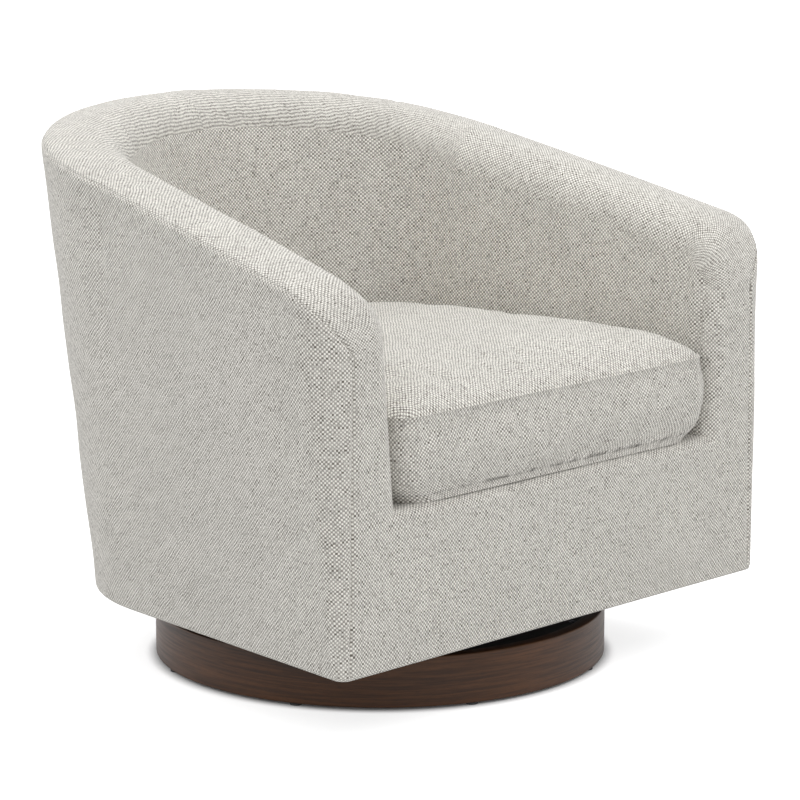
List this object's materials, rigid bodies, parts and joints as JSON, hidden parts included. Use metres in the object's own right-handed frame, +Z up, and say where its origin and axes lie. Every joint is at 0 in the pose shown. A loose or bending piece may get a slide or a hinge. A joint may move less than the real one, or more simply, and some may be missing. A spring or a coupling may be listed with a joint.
{
  "type": "swivel barrel chair",
  "caption": "Low upholstered lounge chair with a curved padded shell on a round wooden swivel plinth and a loose seat cushion.",
  "frame": {"origin": "on the floor, under the swivel's axis", "axes": "+Z up, -Y the way the sitter faces, so the sitter's right arm is at -X"},
  "size_m": [0.8506, 0.7759, 0.715],
  "materials": {
    "oatmeal_weave": "coarse heathered basket weave, matt",
    "deck_fabric": "plain weave, matt",
    "walnut_stain": "dark walnut stain, satin lacquer",
    "dark_panel": "dark stain, matt",
    "bare_ply": "bare birch plywood",
    "bare_pine": "bare softwood",
    "nylon": "natural nylon",
    "zinc_plate": "zinc plated, satin",
    "bearing_steel": "bright steel",
    "spring_steel": "black oiled spring wire",
    "black_cambric": "thin black non-woven",
    "jute_lining": "open jute weave",
    "card_strip": "stiff card strip",
    "fibre_wadding": "white polyester fibre",
    "foam": "cream polyurethane foam, matt"
  },
  "bodies": {
    "plinth": {"plinth_ring": "walnut_stain", "plinth_top_panel": "dark_panel", "plinth_cross_rails": "bare_ply", "plinth_glue_blocks": "bare_pine", "floor_glides": "nylon", "plinth_screws": "bearing_steel", "swivel_lower_plate": "zinc_plate", "swivel_rivet": "bearing_steel", "hub_washer": "nylon", "lower_plate_bolts": "bearing_steel", "lower_tee_nuts": "bearing_steel"},
    "ball_cage": {"ball_cage": "nylon", "bearing_balls": "bearing_steel"},
    "seat_cushion": {"cushion_cover": "oatmeal_weave", "cushion_wrap": "fibre_wadding", "cushion_foam": "foam"},
    "seat_shell": {"back_foam": "foam", "back_rail": "bare_pine", "base_board": "bare_ply", "corner_blocks": "bare_pine", "deck_cloth": "deck_fabric", "deck_lining": "jute_lining", "deck_pad": "foam", "dust_cover": "black_cambric", "frame_screws": "bearing_steel", "front_cover": "oatmeal_weave", "front_pad": "foam", "front_rail": "bare_pine", "inner_lining": "jute_lining", "inside_cover": "oatmeal_weave", "left_arm_foam": "foam", "left_arm_post": "bare_pine", "outer_board": "bare_ply", "outer_cover": "oatmeal_weave", "outer_wadding": "fibre_wadding", "right_arm_foam": "foam", "right_arm_post": "bare_pine", "seat_ring": "bare_ply", "shell_ribs": "bare_pine", "side_rails": "bare_pine", "sinuous_springs": "spring_steel", "spring_clips": "spring_steel", "swivel_upper_plate": "zinc_plate", "tack_strip": "card_strip", "top_rail": "bare_ply", "upper_plate_bolts": "bearing_steel", "upper_tee_nuts": "bearing_steel"}
  },
  "joints": [
    {"name": "seat_swivel", "type": "hinge", "parent": "plinth", "child": "seat_shell", "pos_m": [0, 0, 0.08], "axis": [0, 0, 1], "continuous": true},
    {"name": "cage_turn", "type": "hinge", "parent": "plinth", "child": "ball_cage", "pos_m": [0, 0, 0.08], "axis": [0, 0, 1], "continuous": true},
    {"name": "seat_cushion_lift", "type": "slide", "parent": "seat_shell", "child": "seat_cushion", "axis": [0, 0, 1], "range_m": [0, 0.42]}
  ],
  "couplings": [
    {"joint": "cage_turn", "follows": "seat_swivel", "ratio": 0.5}
  ]
}
